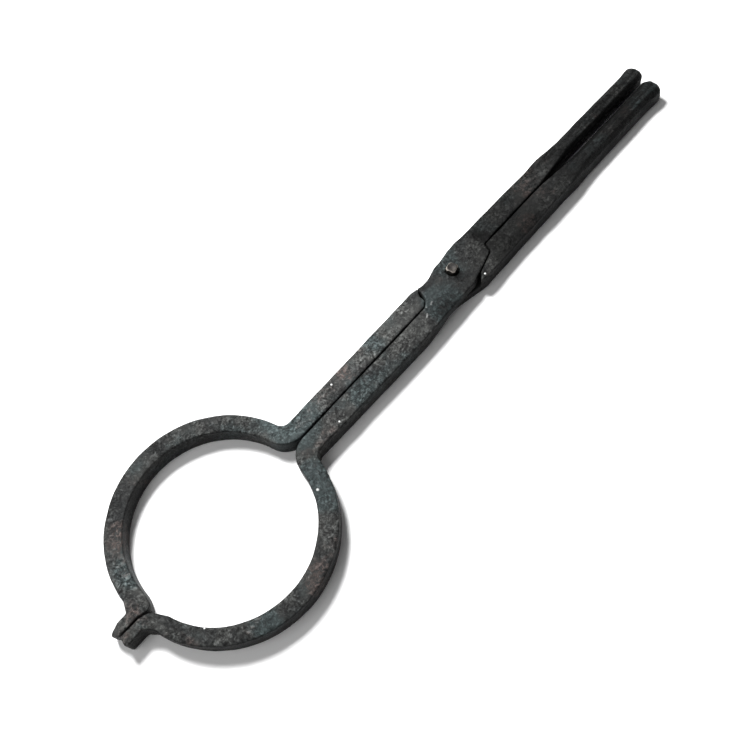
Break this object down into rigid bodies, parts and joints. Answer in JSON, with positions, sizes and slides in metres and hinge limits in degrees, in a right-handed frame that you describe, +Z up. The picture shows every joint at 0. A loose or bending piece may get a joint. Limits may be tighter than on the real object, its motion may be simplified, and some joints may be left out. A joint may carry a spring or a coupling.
{
  "type": "blacksmith tongs",
  "caption": "Forged steel tongs with a round two-part jaw, a half-lap riveted boss and short stub reins for long handles.",
  "frame": {"origin": "where the rivet's axis meets the bench that the closed tongs lie on, at the flush tail of the rivet", "axes": "+X along the reins, away from the jaw; +Y across the tongs, towards the rein of the upper lever; +Z up off the bench"},
  "size_m": [0.5067, 0.1383, 0.0167],
  "materials": {
    "forged_steel": "black forge scale with faint brown and blue-green patches, matt",
    "rivet_steel": "hammered and worn bright, with a warm tint"
  },
  "bodies": {
    "lower": {"lower_lever": "forged_steel", "rivet": "rivet_steel"},
    "upper": {"upper_lever": "forged_steel"}
  },
  "joints": [
    {"name": "rivet_hinge", "type": "hinge", "parent": "lower", "child": "upper", "pos_m": [0, 0, 0], "axis": [0, 0, 1], "range_deg": [0, 40]}
  ]
}
